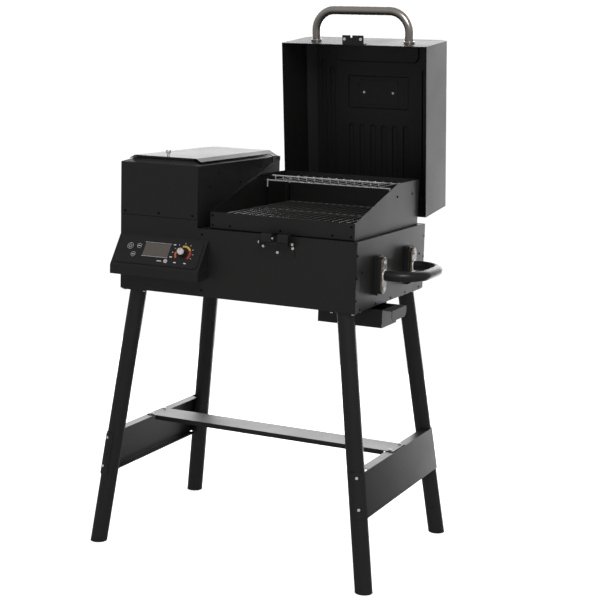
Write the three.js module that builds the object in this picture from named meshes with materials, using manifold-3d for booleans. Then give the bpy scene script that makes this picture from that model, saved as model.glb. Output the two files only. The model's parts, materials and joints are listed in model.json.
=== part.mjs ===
// Pellet smoker grill: a box body on four splayed tube legs, with a pellet hopper on the left, a cook
// chamber under a tall hinged lid on the right, and the auger, fan and fire pot inside.
// Millimetres, +Z up, front towards -Y. Sizes are written in the body frame, whose origin is the
// front, left, bottom corner of the body box; the whole grill is moved to its floor centre at the end.

import * as THREE from 'three'
import { mergeVertices } from 'three/addons/utils/BufferGeometryUtils.js'
import Module from 'manifold-3d'

const wasm = await Module()
wasm.setup()

// ---------------------------------------------------------------- driving dimensions
const sheet = 1.2 // steel sheet thickness
const gap = 0.3 // clearance between touching pieces

const body = { length: 630, depth: 443, height: 165 }
const hopper = { width: 214, seam: 184.4, top: 312.5, rimInset: 26, rimRise: 10 }
const chamber = {
  left: 245, right: 619, front: 8.5, rear: 414, floor: 30, lip: 206.5, top: 278.7, kneeY: 268,
}
const lid = {
  left: 236, right: 632, front: 2, length: 429.5, wall: 147.7, chamfer: 21, rim: 166.5, openDegrees: 83.5,
}
const emboss = {
  height: 4,
  pocket: { width: 228, front: 3, rear: 60, drop: 5 },
  badge: { width: 175, from: 98, to: 187 },
  longRibs: [{ offset: 155.5, from: 57 }, { offset: 130.5, from: 77 }],
  shortRibs: { spacing: 31.2, count: 6, from: 227 },
  ribWidth: 18,
  ribEnd: 12,
}
const hinge = { y: 443.5, z: 169.2, barrel: 3.2, pin: 1.7, left: 284, right: 584, knuckle: 60 }
const lidHandle = { span: 256, reach: 79, radius: 11, bend: 52, depth: 62 }
const legs = {
  radius: 21, wall: 1.6, topInset: [36, 30], footOutset: [50, 27], lean: 9, height: 649, pad: 2.2,
}
const brace = { top: -368, height: 107, flange: 23, thickness: 2, wrapDegrees: 106 }
const crossbar = { width: 80, lip: 12 }
const control = { left: 1, right: 245, top: 138, foldY: -50, foldZ: 65, lipZ: 43, backZ: 46.5 }
const greaseBox = { left: 486, right: 652, front: 115, rear: 208, bottom: -50, top: -6, pull: 25 }
const sideHandle = { front: 120, rear: 316, z: 75.5, radius: 12.5, reach: 732.6, bend: 65 }
const bracket = { width: 33, height: 88, step: 642.5, outer: 649.2, plate: 2.2 }
const latch = { x: 431, z: 149, pinY: -16, frontY: -25, top: 170.8, bottom: 141, width: 70 }
const latchCatch = { x: 434.5, width: 58, reach: 21.5, notch: [428, 433] }
const firePot = { x: 432, y: 211, radius: 50, bottom: 5, top: 80 }
const auger = { y: 211, z: 50, tube: 17, flight: 14.5, shaft: 4, pitch: 32, start: 62, end: 378 }
const fan = { x: 145, y: 345, radius: 34, bottom: 8, top: 52 }
const probe = { y: 80, z: 172 }
const grate = { bottom: 196.5, rod: 5.5, pitch: 19.3, rods: 18, crossY: [211] }
const rack = { z: 264.8, lipZ: 278.5, front: 259, rear: 400, left: 264, right: 600, wire: 3.2, wires: 14 }
const ledgeWidth = 9.5
const tray = { left: 268, right: 598, front: 24, rear: 398, slope: 3, z: 126, wall: 12 }
const spout = { x: 572, y: 162, radius: 12 }

// ---------------------------------------------------------------- materials
function finish(color, roughness, metalness) {
  return new THREE.MeshStandardMaterial({ color, roughness, metalness })
}

const blackSteel = finish(0x1b1a19, 0.55, 0.3)
const blackTube = finish(0x161616, 0.4, 0.3)
const brushedSteel = finish(0xb9b0a4, 0.35, 0.95)
const zincSteel = finish(0xb5b3ae, 0.35, 0.9)
const chromeWire = finish(0xd0d0d0, 0.15, 1)
const darkIron = finish(0x242220, 0.6, 0.7)
const bareSteel = finish(0x8c8a86, 0.45, 0.85)
const blackPlastic = finish(0x131313, 0.5, 0)
const greyGlass = finish(0x4a4845, 0.15, 0)
const boardGreen = finish(0x1f4a30, 0.6, 0)

// ---------------------------------------------------------------- solids
function solid(geometry) {
  const bare = geometry.clone()
  bare.deleteAttribute('normal')
  bare.deleteAttribute('uv')
  const merged = mergeVertices(bare, 1e-4)
  return new wasm.Manifold(new wasm.Mesh({
    numProp: 3,
    vertProperties: new Float32Array(merged.attributes.position.array),
    triVerts: new Uint32Array(merged.index.array),
  }))
}

function toGeometry(shape) {
  const mesh = shape.getMesh()
  const geometry = new THREE.BufferGeometry()
  geometry.setAttribute('position', new THREE.BufferAttribute(mesh.vertProperties, 3))
  geometry.setIndex(new THREE.BufferAttribute(mesh.triVerts, 1))
  geometry.computeVertexNormals()
  return geometry
}

function join(...shapes) {
  return shapes.flat().reduce((whole, shape) => whole.add(shape))
}

function cut(shape, ...tools) {
  return tools.flat().reduce((rest, tool) => rest.subtract(tool), shape)
}

// A box between two opposite corners, given as x, y and z ranges.
function block([x0, x1], [y0, y1], [z0, z1]) {
  const geometry = new THREE.BoxGeometry(x1 - x0, y1 - y0, z1 - z0)
  geometry.translate((x0 + x1) / 2, (y0 + y1) / 2, (z0 + z1) / 2)
  return solid(geometry)
}

const directions = {
  x: new THREE.Matrix4().makeBasis(vector(0, 1, 0), vector(0, 0, 1), vector(1, 0, 0)),
  y: new THREE.Matrix4().makeBasis(vector(0, 0, 1), vector(1, 0, 0), vector(0, 1, 0)),
  z: new THREE.Matrix4(),
}

function vector(x, y, z) {
  return new THREE.Vector3(x, y, z)
}

// An outline drawn across an axis and pushed along it. Along x the outline's points are (y, z),
// along y they are (z, x), and along z they are (x, y).
function prism(outline, axis, from, to) {
  const shape = outline instanceof THREE.Shape ? outline : new THREE.Shape(points2(outline))
  const settings = { depth: to - from, bevelEnabled: false, curveSegments: 4 }
  const geometry = new THREE.ExtrudeGeometry(shape, settings)
  geometry.translate(0, 0, from)
  geometry.applyMatrix4(directions[axis])
  return solid(geometry)
}

function points2(list) {
  return list.map(([a, b]) => new THREE.Vector2(a, b))
}

// A cylinder along an axis; centre holds the two coordinates across it, in the order prism uses.
function rod(radius, axis, from, to, [a, b], segments = 20) {
  const geometry = new THREE.CylinderGeometry(radius, radius, to - from, segments)
  geometry.rotateX(Math.PI / 2)
  geometry.translate(a, b, (from + to) / 2)
  geometry.applyMatrix4(directions[axis])
  return solid(geometry)
}

// A rectangle with round corners about (a, b).
function roundedRectangle(width, height, radius, a = 0, b = 0) {
  const x = a - width / 2
  const y = b - height / 2
  const shape = new THREE.Shape()
  shape.moveTo(x + radius, y)
  shape.lineTo(x + width - radius, y)
  shape.absarc(x + width - radius, y + radius, radius, -Math.PI / 2, 0)
  shape.lineTo(x + width, y + height - radius)
  shape.absarc(x + width - radius, y + height - radius, radius, 0, Math.PI / 2)
  shape.lineTo(x + radius, y + height)
  shape.absarc(x + radius, y + height - radius, radius, Math.PI / 2, Math.PI)
  shape.lineTo(x, y + radius)
  shape.absarc(x + radius, y + radius, radius, Math.PI, Math.PI * 1.5)
  return shape
}

// The solid between a lower and an upper ring of equally many points, both counter-clockwise.
function ruled(lower, upper, zLower, zUpper) {
  const count = lower.length
  const lowerPoints = lower.map(([x, y]) => [x, y, zLower])
  const upperPoints = upper.map(([x, y]) => [x, y, zUpper])
  const positions = [...lowerPoints, ...upperPoints].flat()
  const faces = []
  for (let i = 0; i < count; i += 1) {
    const j = (i + 1) % count
    faces.push(i, j, count + j, i, count + j, count + i)
  }
  const lowerCap = THREE.ShapeUtils.triangulateShape(points2(lower), [])
  const upperCap = THREE.ShapeUtils.triangulateShape(points2(upper), [])
  lowerCap.forEach(([a, b, c]) => faces.push(a, c, b))
  upperCap.forEach(([a, b, c]) => faces.push(count + a, count + b, count + c))
  const geometry = new THREE.BufferGeometry()
  geometry.setAttribute('position', new THREE.Float32BufferAttribute(positions, 3))
  geometry.setIndex(faces)
  return solid(geometry)
}

function rectangle([x0, x1], [y0, y1]) {
  return [[x0, y0], [x1, y0], [x1, y1], [x0, y1]]
}

function circle(x, y, radius, segments = 28) {
  return Array.from({ length: segments }, (_, i) => {
    const angle = (i / segments) * Math.PI * 2
    return [x + Math.cos(angle) * radius, y + Math.sin(angle) * radius]
  })
}

// An arc in three dimensions: centre plus two perpendicular spokes, swept a quarter turn.
class QuarterTurn extends THREE.Curve {
  constructor(centre, first, second) {
    super()
    Object.assign(this, { centre, first, second })
  }

  getPoint(t, target = new THREE.Vector3()) {
    const angle = (t * Math.PI) / 2
    target.copy(this.centre)
    target.addScaledVector(this.first, Math.cos(angle))
    return target.addScaledVector(this.second, Math.sin(angle))
  }
}

// A round bar bent into a U: from a foot, out along reach, across to the other foot and back.
function bentHandle(foot, otherFoot, reach, bend, radius) {
  const out = reach.clone().normalize()
  const across = otherFoot.clone().sub(foot).normalize()
  const path = new THREE.CurvePath()
  const corner = foot.clone().add(reach)
  const otherCorner = otherFoot.clone().add(reach)
  const firstCentre = corner.clone().addScaledVector(out, -bend).addScaledVector(across, bend)
  const secondCentre = otherCorner.clone().addScaledVector(out, -bend).addScaledVector(across, -bend)
  const outward = out.clone().multiplyScalar(bend)
  const sideways = across.clone().multiplyScalar(bend)
  const firstTurn = new QuarterTurn(firstCentre, sideways.clone().negate(), outward)
  const secondTurn = new QuarterTurn(secondCentre, outward, sideways)
  path.add(new THREE.LineCurve3(foot, firstTurn.getPoint(0)))
  path.add(firstTurn)
  path.add(new THREE.LineCurve3(firstTurn.getPoint(1), secondTurn.getPoint(0)))
  path.add(secondTurn)
  path.add(new THREE.LineCurve3(secondTurn.getPoint(1), otherFoot))
  const section = new THREE.Shape(points2(circle(0, 0, radius, 14)))
  return solid(new THREE.ExtrudeGeometry(section, { steps: 30, extrudePath: path }))
}

// ---------------------------------------------------------------- scene graph
const grill = new THREE.Group()

function place(name, shape, material, parent = grill) {
  const mesh = new THREE.Mesh(toGeometry(shape), material)
  mesh.name = name
  parent.add(mesh)
}

// ---------------------------------------------------------------- body panels
const flange = 12 // width of the folded edges inside the body
const rightFace = body.length - sheet - gap
const betweenPanels = [sheet + gap, body.depth - sheet - gap] // room between front and rear panels
const sideOutline = [
  [0, 0], [0, rightFace], [body.height, rightFace], [body.height, hopper.width],
  [hopper.seam - gap, hopper.width], [hopper.seam - gap, 0],
]

function foldedEdge(x, y) {
  return block(x, y, [14, body.height - 4])
}

function frontPanel() {
  const face = prism(sideOutline, 'y', 0, sheet)
  const innerEdge = [sheet / 2, sheet + flange]
  const leftEdge = foldedEdge([sheet + gap, 2 * sheet + gap], innerEdge)
  const rightEdge = foldedEdge([rightFace - sheet, rightFace], innerEdge)
  const wiring = block([60, 190], [-1, sheet + 1], [70, 112])
  return cut(join(face, leftEdge, rightEdge), wiring)
}

function rearPanel() {
  const face = prism(sideOutline, 'y', body.depth - sheet, body.depth)
  const innerEdge = [body.depth - sheet - flange, body.depth - sheet / 2]
  const leftEdge = foldedEdge([sheet + gap, 2 * sheet + gap], innerEdge)
  const rightEdge = foldedEdge([rightFace - sheet, rightFace], innerEdge)
  const slots = [0, 1, 2, 3, 4].map((row) => (
    block([34, 104], [body.depth - 3, body.depth + 1], [44 + row * 14, 49 + row * 14])))
  const inlet = block([148, 178], [body.depth - 3, body.depth + 1], [58, 82])
  return cut(join(face, leftEdge, rightEdge), slots, inlet)
}

const railX = [greaseBox.left, body.length - 8] // how far the grease box runs under the body

function bottomPanel() {
  const x = [sheet + gap, rightFace - gap]
  const y = betweenPanels
  const inside = block([x[0] + sheet, x[1] - sheet], [y[0] + sheet, y[1] - sheet], [sheet, flange + 1])
  const tub = cut(block(x, y, [0, flange]), inside)
  const greaseHole = rod(spout.radius + 1.5, 'z', -1, 3, [spout.x, spout.y])
  const airSlots = [0, 1, 2, 3].map((row) => block([118, 172], [318 + row * 14, 324 + row * 14], [-1, 3]))
  return cut(tub, greaseHole, airSlots)
}

// A channel under the body whose two inward feet carry the lips of the grease box.
function greaseBracket() {
  const y = [greaseBox.front - 9, greaseBox.rear + 9]
  const through = [railX[0] - 1, railX[1] + 1]
  const thickness = 1.5
  const foot = 7
  const bottom = -11
  const hollowZ = [bottom + thickness, -gap - thickness]
  const channel = block(railX, y, [bottom, -gap])
  const inside = block(through, [y[0] + thickness, y[1] - thickness], hollowZ)
  const slot = block(through, [y[0] + foot, y[1] - foot], [bottom - 1, bottom + thickness + 0.5])
  const drain = rod(spout.radius + 1.5, 'z', -5, 1, [spout.x, spout.y])
  return cut(channel, inside, slot, drain)
}

function topDeck() {
  const z = [body.height - 1.8, body.height - gap]
  const plate = block([hopper.width + 2, rightFace - gap], betweenPanels, z)
  const opening = block(
    [chamber.left - 2, chamber.right + 1.5],
    [chamber.front - 1.5, chamber.rear + 2],
    [z[0] - 1, z[1] + 1],
  )
  return cut(plate, opening)
}

function dividerPanel() {
  const z = [flange + 2, body.height - 2.2]
  const plate = block([219, 219 + sheet], betweenPanels, z)
  const frontEdge = block([219, 235], [sheet + gap, 2 * sheet + gap], z)
  const augerHole = rod(auger.tube + gap, 'x', 210, 230, [auger.y, auger.z])
  const ductHole = block([210, 230], [fan.y - 22, fan.y + 12], [17, 43])
  return cut(join(plate, frontEdge), augerHole, ductHole)
}

place('bottom_panel', bottomPanel(), blackSteel)
place('grease_bracket', greaseBracket(), blackSteel)
place('front_panel', frontPanel(), blackSteel)
place('rear_panel', rearPanel(), blackSteel)
place('left_panel', block([0, sheet], betweenPanels, [0, hopper.seam - gap]), blackSteel)
place('right_panel', block([body.length - sheet, body.length], [0, body.depth], [0, body.height]), blackSteel)
place('divider_panel', dividerPanel(), blackSteel)
place('top_deck', topDeck(), blackSteel)

// ---------------------------------------------------------------- cook chamber
function chamberShell() {
  const outline = [
    [chamber.front, chamber.floor], [chamber.rear, chamber.floor], [chamber.rear, chamber.top],
    [chamber.kneeY, chamber.top], [chamber.front, chamber.lip],
  ]
  const outer = prism(outline, 'x', chamber.left, chamber.right)
  const inside = block(
    [chamber.left + sheet, chamber.right - sheet],
    [chamber.front + sheet, chamber.rear - sheet],
    [chamber.floor + sheet, 320],
  )
  const throughFloor = [chamber.floor - 1, chamber.floor + 3]
  const throughWall = [chamber.left - 1, chamber.left + 3]
  const potHole = rod(firePot.radius + 1, 'z', ...throughFloor, [firePot.x, firePot.y], 32)
  const augerHole = rod(auger.tube + gap, 'x', ...throughWall, [auger.y, auger.z])
  const probeHole = rod(3.3, 'x', ...throughWall, [probe.y, probe.z], 12)
  const ductHole = block(throughWall, [fan.y - 22, fan.y + 12], [34, 43])
  const drain = rod(spout.radius, 'z', -3.5, 112, [spout.x, spout.y])
  const bore = rod(spout.radius - sheet, 'z', -5, 113, [spout.x, spout.y])
  return cut(join(cut(outer, inside, potHole, augerHole, probeHole, ductHole), drain), bore)
}

// A flat rim round the inside of the chamber, on which the cooking grate rests.
function grateLedge() {
  const inset = sheet + gap
  const x = [chamber.left + inset, chamber.right - inset]
  const y = [chamber.front + inset, chamber.rear - inset]
  const z = [grate.bottom - gap - sheet, grate.bottom - gap]
  const openX = [x[0] + ledgeWidth, x[1] - ledgeWidth]
  const openY = [y[0] + ledgeWidth, y[1] - ledgeWidth]
  return cut(block(x, y, z), block(openX, openY, [z[0] - 1, z[1] + 1]))
}

// Floor height of the drip tray, which slopes down to the right so that grease runs to the drain.
function trayHeight(x) {
  return tray.z - Math.tan(THREE.MathUtils.degToRad(tray.slope)) * (x - tray.right)
}

function dripTray() {
  const floorLine = (lift) => [
    [trayHeight(tray.left) + lift, tray.left], [trayHeight(tray.right) + lift, tray.right],
  ]
  const slab = (low, high, from, to) => (
    prism([...floorLine(low), ...floorLine(high).reverse()], 'y', from, to))
  const floor = slab(0, sheet, tray.front, tray.rear)
  const frontWall = slab(0, tray.wall, tray.front, tray.front + sheet)
  const rearWall = slab(0, tray.wall, tray.rear - sheet, tray.rear)
  const endWall = (x) => {
    const height = trayHeight(x)
    return block([x, x + sheet], [tray.front, tray.rear], [height + 0.2, height + tray.wall])
  }
  const hole = rod(spout.radius - 3, 'z', 100, 160, [spout.x, spout.y])
  return cut(join(floor, frontWall, rearWall, endWall(tray.left), endWall(tray.right - sheet)), hole)
}

function heatBaffle() {
  const z = [92, 94]
  const plate = block([300, 552], [92, 332], z)
  const corners = [[300, 92], [537, 92], [300, 330], [537, 330]]
  const legsUp = corners.map(([x, y]) => (
    block([x, x + 15], [y, y + 2], [chamber.floor + sheet + gap, trayHeight(x + 15) - gap])))
  return join(plate, legsUp)
}

function cookingGrate() {
  const z = [grate.bottom, grate.bottom + grate.rod]
  const y = [chamber.front + 4, chamber.rear - 4]
  const centre = (chamber.left + chamber.right) / 2
  const half = grate.rod / 2
  const bars = Array.from({ length: grate.rods }, (_, i) => {
    const x = centre + (i - (grate.rods - 1) / 2) * grate.pitch
    return block([x - half, x + half], y, z)
  })
  const reach = (grate.rods / 2) * grate.pitch
  const cross = [y[0] + half, ...grate.crossY, y[1] - half].map((at) => (
    block([centre - reach, centre + reach], [at - half, at + half], [z[0], z[1] - 1])))
  return join(bars, cross)
}

function warmingRack() {
  const half = rack.wire / 2
  const x = [rack.left, rack.right]
  const alongX = (y, z, range = x) => block(range, [y - half, y + half], [z - half, z + half])
  const rails = [rack.front + 10, rack.rear].map((y) => alongX(y, rack.z))
  const lip = alongX(rack.front, rack.lipZ, [rack.left + 20, rack.right - 20])
  const spacing = (rack.right - rack.left - 56) / (rack.wires - 1)
  const flatZ = [rack.z + half - 0.5, rack.z + half + 1.6]
  const wires = Array.from({ length: rack.wires }, (_, i) => {
    const at = rack.left + 28 + i * spacing
    const width = [at - 1.2, at + 1.2]
    const flat = block(width, [rack.front, rack.rear], flatZ)
    const hook = block(width, [rack.front - half, rack.front + 1.4], [rack.z, rack.lipZ])
    return join(flat, hook)
  })
  const standing = [grate.bottom + grate.rod + gap, rack.z]
  const feet = [rack.front + 10, rack.rear].flatMap((y) => (
    [x[0], x[1] - rack.wire].map((at) => block([at, at + rack.wire], [y - half, y + half], standing))))
  return join(rails, lip, wires, feet)
}

place('chamber_shell', chamberShell(), blackSteel)
place('grate_ledge', grateLedge(), blackSteel)
place('heat_baffle', heatBaffle(), darkIron)
place('drip_tray', dripTray(), bareSteel)
place('cooking_grate', cookingGrate(), darkIron)
place('warming_rack', warmingRack(), chromeWire)

// ---------------------------------------------------------------- fire pot, auger, fan
function firePotCup() {
  const axis = [firePot.x, firePot.y]
  const rim = rod(firePot.radius + 8, 'z', chamber.floor + sheet + gap, chamber.floor + sheet + 2, axis, 24)
  const wall = rod(firePot.radius, 'z', firePot.bottom, firePot.top, axis, 24)
  const cavity = rod(firePot.radius - 2, 'z', firePot.bottom + 2, firePot.top + 1, axis, 24)
  const feed = rod(auger.tube + gap, 'x', firePot.x - firePot.radius - 12, firePot.x - 20, [auger.y, auger.z])
  const igniterHole = rod(5.8, 'y', firePot.y + 30, firePot.y + firePot.radius + 2, [16, firePot.x], 12)
  const airHoles = [0, 1, 2, 3, 4, 5].map((i) => {
    const angle = ((i + 0.5) / 6) * Math.PI * 2
    return rod(3, 'z', 0, 10, [firePot.x + 26 * Math.cos(angle), firePot.y + 26 * Math.sin(angle)], 8)
  })
  return cut(join(rim, wall), cavity, feed, igniterHole, airHoles)
}

function augerTube() {
  const outer = rod(auger.tube, 'x', 58, 384, [auger.y, auger.z])
  const bore = rod(auger.tube - sheet, 'x', 57, 385, [auger.y, auger.z])
  const mouth = block([77, 123], [192, 230], [auger.z + 6, 80])
  return cut(outer, bore, mouth)
}

// The flight is a helical band; each step adds one slanted cross-section.
function augerScrew() {
  const stepsPerTurn = 8
  const inner = auger.shaft - 1
  const thickness = 2.4
  const steps = Math.floor(((auger.end - auger.start) / auger.pitch) * stepsPerTurn)
  const positions = []
  const faces = []
  for (let i = 0; i <= steps; i += 1) {
    const angle = (i / stepsPerTurn) * Math.PI * 2
    const x = auger.start + (i / stepsPerTurn) * auger.pitch
    const corners = [[inner, 0], [auger.flight, 0], [auger.flight, thickness], [inner, thickness]]
    corners.forEach(([radius, along]) => {
      positions.push(x + along, auger.y + radius * Math.cos(angle), auger.z + radius * Math.sin(angle))
    })
    if (i < steps) {
      for (let k = 0; k < 4; k += 1) {
        const a = i * 4 + k
        const b = i * 4 + ((k + 1) % 4)
        faces.push(a, b + 4, b, a, a + 4, b + 4)
      }
    }
  }
  const last = steps * 4
  faces.push(0, 1, 2, 0, 2, 3, last, last + 2, last + 1, last, last + 3, last + 2)
  const geometry = new THREE.BufferGeometry()
  geometry.setAttribute('position', new THREE.Float32BufferAttribute(positions, 3))
  geometry.setIndex(faces)
  const flight = solid(geometry)
  const shaft = rod(auger.shaft, 'x', 50, auger.end + 2, [auger.y, auger.z], 12)
  return join(shaft, flight)
}

function gearMotor() {
  const gearbox = block([24, 48], [auger.y - 32, auger.y + 32], [auger.z - 30, auger.z + 28])
  const motor = rod(24, 'x', 4, 24.5, [auger.y, auger.z], 24)
  const boss = rod(9, 'x', 47.5, 55, [auger.y, auger.z], 16)
  const shaftHole = rod(auger.shaft + gap, 'x', 40, 60, [auger.y, auger.z], 12)
  return cut(join(gearbox, motor, boss), shaftHole)
}

function fanHousing() {
  const scroll = rod(fan.radius + 6, 'z', fan.bottom, fan.top, [fan.x, fan.y], 32)
  const duct = block([fan.x, 243.5], [fan.y - 21, fan.y + 11], [18, 42])
  const cavity = rod(fan.radius, 'z', fan.bottom + 2, fan.top - 2, [fan.x, fan.y], 32)
  const ductBore = block([fan.x, 250], [fan.y - 19, fan.y + 9], [20, 40])
  const intake = rod(18, 'z', fan.bottom - 1, fan.bottom + 3, [fan.x, fan.y], 20)
  return cut(join(scroll, duct), cavity, ductBore, intake)
}

function fanImpeller() {
  const axis = [fan.x, fan.y]
  const disc = rod(fan.radius - 3, 'z', fan.top - 8, fan.top - 6, axis, 24)
  const hub = rod(7, 'z', fan.bottom + 8, fan.top - 6, axis, 16)
  const blades = Array.from({ length: 9 }, (_, i) => {
    const geometry = new THREE.BoxGeometry(22, 1.6, 28)
    geometry.rotateZ(0.5)
    geometry.translate(18, 0, fan.top - 21)
    geometry.rotateZ((i / 9) * Math.PI * 2)
    geometry.translate(fan.x, fan.y, 0)
    return solid(geometry)
  })
  return join(disc, hub, blades)
}

function temperatureProbe() {
  const stem = rod(2.8, 'x', 238.8, 262, [probe.y, probe.z], 12)
  const nut = rod(6.5, 'x', 240, chamber.left - gap, [probe.y, probe.z], 6)
  return join(stem, nut)
}

place('fire_pot', firePotCup(), darkIron)
place('igniter', rod(5, 'y', 256, 332, [16, firePot.x], 14), bareSteel)
place('auger_tube', augerTube(), bareSteel)
place('auger_screw', augerScrew(), bareSteel)
place('gear_motor', gearMotor(), zincSteel)
place('fan_housing', fanHousing(), blackPlastic)
place('fan_impeller', fanImpeller(), blackPlastic)
place('temperature_probe', temperatureProbe(), bareSteel)

// ---------------------------------------------------------------- hopper
const hopperLidTop = hopper.top + hopper.rimRise + 5.5
const hopperHinge = { y: 434, z: 307, radius: 3 }
const rimRange = {
  x: [hopper.rimInset, hopper.width - hopper.rimInset],
  y: [hopper.rimInset, body.depth - hopper.rimInset],
}

function hopperShell() {
  const outerRing = rectangle([0, hopper.width], [0, body.depth])
  const rimRing = rectangle(rimRange.x, rimRange.y)
  const innerRing = rectangle([sheet, hopper.width - sheet], [sheet, body.depth - sheet])
  const top = hopper.top + hopper.rimRise
  const walls = block([0, hopper.width], [0, body.depth], [hopper.seam, hopper.top])
  const hip = ruled(outerRing, rimRing, hopper.top, top)
  const tongueZ = [body.height + gap, hopper.seam + 1]
  const tongue = block([hopper.width - sheet, hopper.width], betweenPanels, tongueZ)
  const insideZ = [hopper.seam - 1, hopper.top - 1.6]
  const inside = block([sheet, hopper.width - sheet], [sheet, body.depth - sheet], insideZ)
  const underHip = ruled(innerRing, rimRing, hopper.top - 1.61, top - 1.6)
  const mouth = block(rimRange.x, rimRange.y, [hopper.top - 4, top + 2])
  const studs = [[-3.4, 1], [hopper.width - 1, hopper.width + 3.4]].map((x) => (
    rod(hopperHinge.radius, 'x', x[0], x[1], [hopperHinge.y, hopperHinge.z], 16)))
  return join(cut(join(walls, hip), inside, underHip, mouth), tongue, studs)
}

function hopperFunnel() {
  const top = 298
  const bottom = 72
  const outerTop = rectangle([sheet + gap, hopper.width - sheet - gap], betweenPanels)
  const innerTop = rectangle([3.6, hopper.width - 3.6], [3.6, body.depth - 3.6])
  const outer = ruled(rectangle([76, 124], [188, 234]), outerTop, bottom, top)
  const inner = ruled(rectangle([78, 122], [190, 232]), innerTop, bottom - 0.5, top + 0.5)
  return cut(outer, inner)
}

// A shallow folded pan: flat on top, with its two long sides sloping down over the hopper rim. Two
// ears at its rear reach down outside the hopper and turn on the studs there.
function hopperLid() {
  const z = hopperLidTop
  const outline = [
    [z, 22], [z, 192], [z - 7.5, 206], [z - 9, 206], [z - 9, 205],
    [z - 1.6, 191.4], [z - 1.6, 22.6], [z - 9, 9], [z - 9, 8], [z - 7.5, 8],
  ]
  const pan = prism(outline, 'y', 27, 424)
  const frontLip = block([26, 188], [27, 27 + sheet], [z - 4.6, z - 0.5])
  const shoulder = [
    [z - 7, 204.6], [314.8, 215.8], [311, 215.8], [311, 214.4], [314, 214.4], [z - 8.9, 204.6],
  ]
  const rightEar = join(
    prism(shoulder, 'y', 396, hopperHinge.y - 8),
    block([214.4, 215.8], [396, hopperHinge.y + 8], [hopperHinge.z - 6, 313]),
  )
  const ears = [rightEar, rightEar.mirror([1, 0, 0]).translate([hopper.width, 0, 0])]
  const hingeCentre = [hopperHinge.y, hopperHinge.z]
  const bore = rod(hopperHinge.radius + gap, 'x', -3, hopper.width + 3, hingeCentre, 16)
  return cut(join(pan, frontLip, ears), bore)
}

function hopperLidKnob() {
  const profile = points2([[0, 0], [4, 0], [3.4, 6], [6.8, 9], [6.8, 15], [5, 17], [0, 17]])
  const geometry = new THREE.LatheGeometry(profile, 20)
  geometry.rotateX(Math.PI / 2)
  geometry.translate(110, 38, hopperLidTop + gap)
  return solid(geometry)
}

place('hopper_shell', hopperShell(), blackSteel)
place('hopper_funnel', hopperFunnel(), blackSteel)
place('hopper_lid', hopperLid(), blackSteel)
place('hopper_lid_knob', hopperLidKnob(), chromeWire)

// ---------------------------------------------------------------- controls
// The fascia frame lies on the sloping face: x to the right, y up the slope, z out of the face.
const slopeFall = vector(0, control.foldY + gap, control.foldZ - control.top).normalize()
const fasciaNormal = vector(1, 0, 0).cross(slopeFall.clone().negate())
const fasciaFrame = new THREE.Matrix4()
  .makeBasis(vector(1, 0, 0), slopeFall.clone().negate(), fasciaNormal)
  .setPosition(0, -gap, control.top)
const dial = { x: 190, down: 42.5 }
const windowPlace = { x: 116.5, down: 38.8, width: 71, height: 36 }
const buttonPlaces = [
  { name: 'power_button', x: 42.5, down: 34.5, radius: 9 },
  { name: 'menu_button', x: 67, down: 32, radius: 7 },
  { name: 'light_button', x: 57, down: 56, radius: 7 },
]
const jack = { x: 151, down: 67, radius: 5 }
const fasciaThickness = 2

// Moves a solid drawn in the fascia frame onto the sloping face.
function onFascia(shape) {
  return shape.transform(fasciaFrame.elements)
}

function fasciaRod(radius, at, from, to, segments = 24) {
  return rod(radius, 'z', from, to, [at.x, -at.down], segments)
}

// The pane of the display, or the hole for it, made smaller on every side by inset.
function pane(inset, from, to) {
  const { x, down, width, height } = windowPlace
  const across = [x - width / 2 + inset, x + width / 2 - inset]
  const along = [-down - height / 2 + inset, -down + height / 2 - inset]
  return block(across, along, [from, to])
}

function fasciaHoles(from, to) {
  return [
    pane(0, from, to),
    ...buttonPlaces.map((button) => fasciaRod(button.radius + gap, button, from, to)),
    fasciaRod(4.3, dial, from, to, 16),
    fasciaRod(jack.radius - 1, jack, from, to, 16),
  ]
}

function controlHousing() {
  const outline = [
    [-gap, control.top], [control.foldY, control.foldZ], [control.foldY, control.lipZ], [-gap, control.backZ],
  ]
  const inner = [
    [2, control.top - 1], [control.foldY + 1.6, control.foldZ - 0.5],
    [control.foldY + 1.6, control.lipZ + 1.5], [2, control.backZ + 1.6],
  ]
  const wedge = prism(outline, 'x', control.left, control.right)
  const hollow = prism(inner, 'x', control.left + 1.6, control.right - 1.6)
  return cut(wedge, hollow, fasciaHoles(-8, 4).map(onFascia))
}

function controlFascia() {
  const plate = prism(roundedRectangle(228, 72, 9, 123, -43.5), 'z', gap, gap + fasciaThickness)
  return onFascia(cut(plate, fasciaHoles(-1, 5)))
}

function controlKnob() {
  const profile = points2([[0, 0], [9.5, 0], [9.5, 8], [8.2, 10], [7.6, 17], [6.8, 18], [0, 18]])
  const geometry = new THREE.LatheGeometry(profile, 28)
  geometry.rotateX(Math.PI / 2)
  geometry.translate(dial.x, -dial.down, fasciaThickness + 2 * gap)
  const shaft = fasciaRod(4, dial, -7.5, fasciaThickness + 1, 16)
  const pointer = block([dial.x - 0.8, dial.x + 0.8], [-dial.down, -dial.down + 8.6], [17, 18.9])
  return onFascia(join(solid(geometry), shaft, pointer))
}

function probeJack() {
  const ring = fasciaRod(jack.radius, jack, fasciaThickness + 2 * gap, fasciaThickness + 2.6, 20)
  const barrel = fasciaRod(jack.radius - 1.4, jack, -7, fasciaThickness + 1, 16)
  return onFascia(cut(join(ring, barrel), fasciaRod(1.8, jack, -3, 8, 12)))
}

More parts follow.
